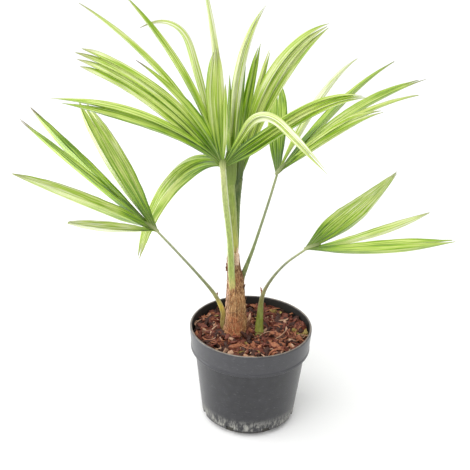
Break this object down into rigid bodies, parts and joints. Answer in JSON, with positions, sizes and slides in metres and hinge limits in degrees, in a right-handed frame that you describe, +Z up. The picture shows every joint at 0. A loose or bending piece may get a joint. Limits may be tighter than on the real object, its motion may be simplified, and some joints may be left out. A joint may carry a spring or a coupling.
{
  "type": "potted chinese windmill palm",
  "caption": "Young fan palm in a tapered black nursery pot: pleated, deeply split fronds on thin stalks from a short fibre-wrapped stem, with bark mulch around its foot.",
  "frame": {"origin": "centre of the pot's flat underside, on the surface that it stands on", "axes": "+Z up along the pot's axis; +X to the plant's right and -Y to its front, as in the picture"},
  "size_m": [0.518, 0.3899, 0.5817],
  "materials": {
    "pot_plastic": "satin black injection-moulded plastic",
    "bark_mulch": "coarse reddish-brown bark chips",
    "sheath_fibre": "brown fibrous leaf sheaths",
    "petiole_green": "satin green stalk",
    "blade_green": "glossy pleated leaf"
  },
  "bodies": {
    "root": {"pot": "pot_plastic", "mulch": "bark_mulch", "trunk": "sheath_fibre", "petiole_front": "petiole_green", "petiole_middle": "petiole_green", "petiole_spear": "petiole_green", "petiole_back": "petiole_green", "petiole_left": "petiole_green", "petiole_right": "petiole_green", "frond_front": "blade_green", "frond_middle": "blade_green", "frond_spear": "blade_green", "frond_back": "blade_green", "frond_left": "blade_green", "frond_right": "blade_green"}
  },
  "joints": []
}
